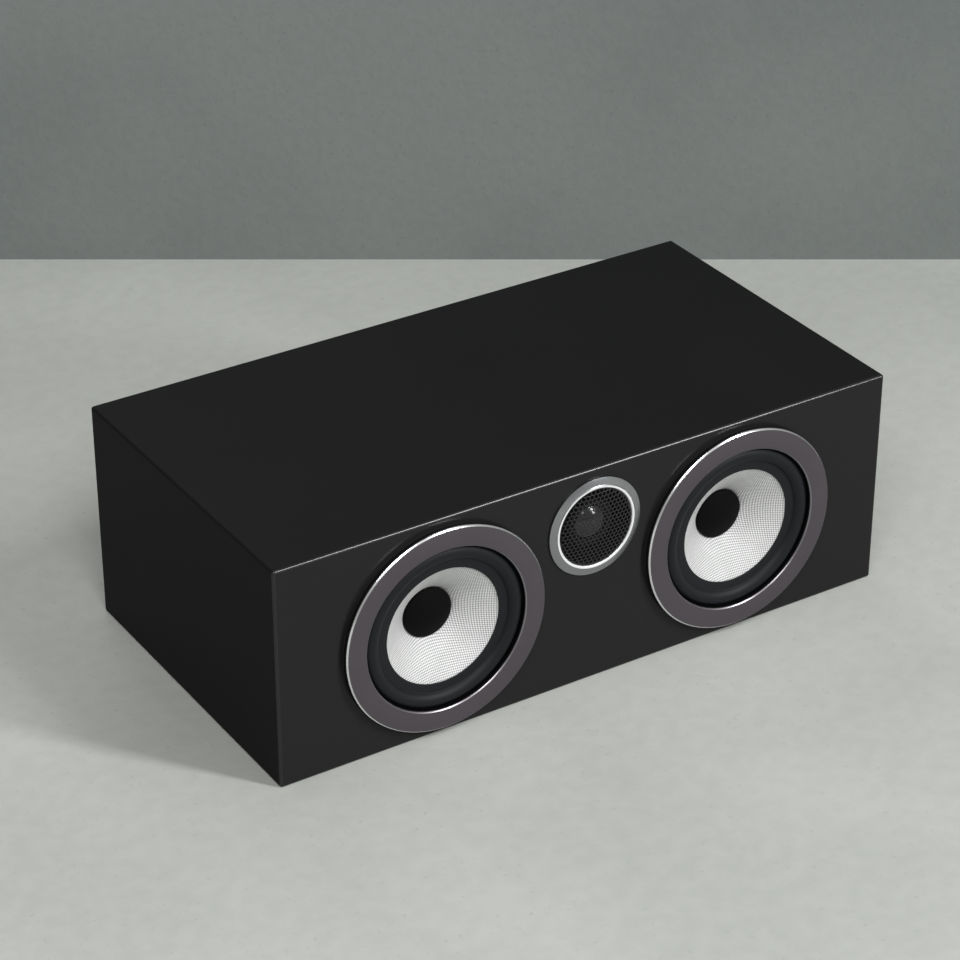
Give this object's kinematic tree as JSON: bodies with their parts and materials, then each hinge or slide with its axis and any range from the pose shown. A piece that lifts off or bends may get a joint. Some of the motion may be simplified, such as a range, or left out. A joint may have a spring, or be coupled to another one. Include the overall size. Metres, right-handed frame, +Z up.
{
  "type": "center channel speaker",
  "caption": "Satin black center channel speaker: woven-cone woofers in gunmetal rings either side of a domed tweeter under mesh, with a rear port and binding posts.",
  "frame": {"origin": "middle of the cabinet's underside", "axes": "+Z up, the baffle faces -Y, +X to the right as the front is looked at"},
  "size_m": [0.48, 0.288, 0.163],
  "materials": {
    "black_lacquer": "satin",
    "bare_board": "matte",
    "gunmetal": "satin",
    "silver": "satin",
    "black_casting": "matte",
    "black_plastic": "matte",
    "foam": "matte",
    "surround_rubber": "satin",
    "woven_cone": "satin",
    "spider_cloth": "matte",
    "copper": "satin",
    "steel": "satin",
    "ferrite": "matte",
    "magnet_plating": "polished",
    "mesh_black": "satin",
    "dome": "gloss",
    "screw_black": "satin",
    "brass": "polished",
    "knob_red": "gloss",
    "knob_black": "gloss",
    "circuit_board": "satin",
    "sleeve": "gloss",
    "resistor_body": "matte",
    "lead_jacket": "satin",
    "wadding": "matte"
  },
  "bodies": {
    "cabinet": {"top_panel": "black_lacquer", "bottom_panel": "black_lacquer", "left_side_panel": "black_lacquer", "right_side_panel": "black_lacquer", "front_baffle": "black_lacquer", "rear_panel": "black_lacquer", "left_brace": "bare_board", "right_brace": "bare_board", "damping_pads": "wadding", "grille_magnets": "magnet_plating", "left_trim_ring": "gunmetal", "left_clamp_ring": "black_plastic", "left_basket": "black_casting", "left_surround": "surround_rubber", "left_spider": "spider_cloth", "left_top_plate": "steel", "left_magnet": "ferrite", "left_yoke": "steel", "right_trim_ring": "gunmetal", "right_clamp_ring": "black_plastic", "right_basket": "black_casting", "right_surround": "surround_rubber", "right_spider": "spider_cloth", "right_top_plate": "steel", "right_magnet": "ferrite", "right_yoke": "steel", "woofer_gaskets": "foam", "woofer_screws": "screw_black", "woofer_tag_strips": "brass", "tweeter_ring": "silver", "tweeter_mesh": "mesh_black", "tweeter_body": "black_plastic", "tweeter_surround": "surround_rubber", "tweeter_pole_plate": "steel", "tweeter_magnet": "magnet_plating", "tweeter_yoke": "steel", "tweeter_tube": "black_casting", "tweeter_screws": "screw_black", "port_tube": "black_plastic", "terminal_plate": "black_plastic", "terminal_screws": "screw_black", "terminal_posts": "brass", "terminal_nuts": "brass", "crossover_board": "circuit_board", "inductors": "copper", "capacitors": "sleeve", "resistors": "resistor_body", "leads": "lead_jacket"},
    "left_diaphragm": {"left_cone": "woven_cone", "left_plug": "black_plastic", "left_voice_coil": "copper"},
    "right_diaphragm": {"right_cone": "woven_cone", "right_plug": "black_plastic", "right_voice_coil": "copper"},
    "tweeter_diaphragm": {"tweeter_dome": "dome", "tweeter_coil": "copper"},
    "positive_clamp": {"positive_collar": "brass"},
    "positive_cap": {"positive_knob": "knob_red"},
    "negative_clamp": {"negative_collar": "brass"},
    "negative_cap": {"negative_knob": "knob_black"}
  },
  "joints": [
    {"name": "left_cone_stroke", "type": "slide", "parent": "cabinet", "child": "left_diaphragm", "axis": [0, -1, 0], "range_m": [-0.004, 0.004], "stiffness_N_per_m": 1200, "deforming": ["left_surround", "left_spider"]},
    {"name": "right_cone_stroke", "type": "slide", "parent": "cabinet", "child": "right_diaphragm", "axis": [0, -1, 0], "range_m": [-0.004, 0.004], "stiffness_N_per_m": 1200, "deforming": ["right_surround", "right_spider"]},
    {"name": "dome_stroke", "type": "slide", "parent": "cabinet", "child": "tweeter_diaphragm", "axis": [0, -1, 0], "range_m": [-0.0003, 0.0003], "stiffness_N_per_m": 1000, "deforming": ["tweeter_surround"]},
    {"name": "positive_clamp_travel", "type": "slide", "parent": "cabinet", "child": "positive_clamp", "axis": [0, 1, 0], "range_m": [0, 0.006]},
    {"name": "positive_knob_turn", "type": "hinge", "parent": "positive_clamp", "child": "positive_cap", "pos_m": [0.02, 0.1455, 0.0815], "axis": [0, 1, 0], "range_deg": [0, 2160]},
    {"name": "negative_clamp_travel", "type": "slide", "parent": "cabinet", "child": "negative_clamp", "axis": [0, 1, 0], "range_m": [0, 0.006]},
    {"name": "negative_knob_turn", "type": "hinge", "parent": "negative_clamp", "child": "negative_cap", "pos_m": [-0.02, 0.1455, 0.0815], "axis": [0, 1, 0], "range_deg": [0, 2160]}
  ],
  "couplings": [
    {"joint": "positive_knob_turn", "follows": "positive_clamp_travel", "rad_per_m": 6283.2},
    {"joint": "negative_knob_turn", "follows": "negative_clamp_travel", "rad_per_m": 6283.2}
  ]
}
